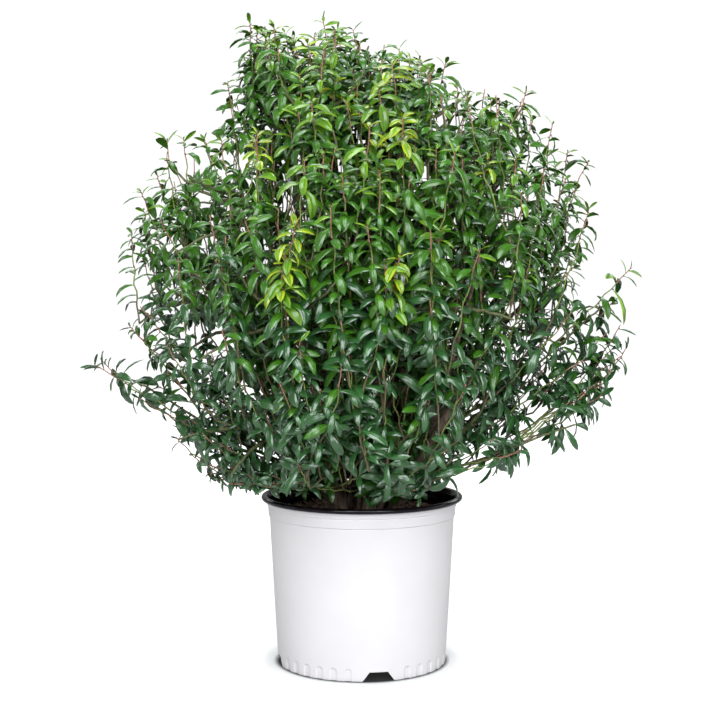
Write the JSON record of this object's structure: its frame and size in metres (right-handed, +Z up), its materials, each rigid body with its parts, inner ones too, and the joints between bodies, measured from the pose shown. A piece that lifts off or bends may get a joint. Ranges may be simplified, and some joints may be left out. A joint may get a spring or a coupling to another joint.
{
  "type": "potted inkberry holly",
  "caption": "Evergreen shrub with upright leafy shoots and a rounded, open crown, growing in a round white nursery pot that stands on a floor, a patio or the ground.",
  "frame": {"origin": "centre of the pot's flat underside, on the floor that it stands on", "axes": "+Z up, along the pot's axis; -Y towards the front, the side seen in the picture; +X to the right of that view"},
  "size_m": [0.7566, 0.6048, 0.8911],
  "materials": {
    "pot": "satin white",
    "potting_bark": "rough, moist",
    "bark": "matt, lightly ridged",
    "leaves": "glossy green"
  },
  "bodies": {
    "root": {"pot": "pot", "potting_bark": "potting_bark", "stem_1": "bark", "stem_2": "bark", "stem_3": "bark", "stem_4": "bark", "stem_5": "bark", "stem_6": "bark", "low_bough_1": "bark", "low_bough_2": "bark", "low_bough_3": "bark", "low_bough_4": "bark", "low_bough_5": "bark", "low_bough_6": "bark", "mid_bough_1": "bark", "mid_bough_2": "bark", "mid_bough_3": "bark", "mid_bough_4": "bark", "mid_bough_5": "bark", "mid_bough_6": "bark", "high_bough_1": "bark", "high_bough_2": "bark", "high_bough_3": "bark", "high_bough_4": "bark", "high_bough_5": "bark", "high_bough_6": "bark", "left_branch_bough": "bark", "right_spike_bough": "bark", "right_branch_bough": "bark", "low_foliage_1": "leaves", "low_foliage_2": "leaves", "low_foliage_3": "leaves", "low_foliage_4": "leaves", "low_foliage_5": "leaves", "low_foliage_6": "leaves", "mid_foliage_1": "leaves", "mid_foliage_2": "leaves", "mid_foliage_3": "leaves", "mid_foliage_4": "leaves", "mid_foliage_5": "leaves", "mid_foliage_6": "leaves", "high_foliage_1": "leaves", "high_foliage_2": "leaves", "high_foliage_3": "leaves", "high_foliage_4": "leaves", "high_foliage_5": "leaves", "high_foliage_6": "leaves", "top_foliage_1": "leaves", "top_foliage_2": "leaves", "top_foliage_3": "leaves", "top_foliage_4": "leaves", "top_foliage_5": "leaves", "top_foliage_6": "leaves", "left_branch_foliage": "leaves", "right_spike_foliage": "leaves", "right_branch_foliage": "leaves"}
  },
  "joints": []
}
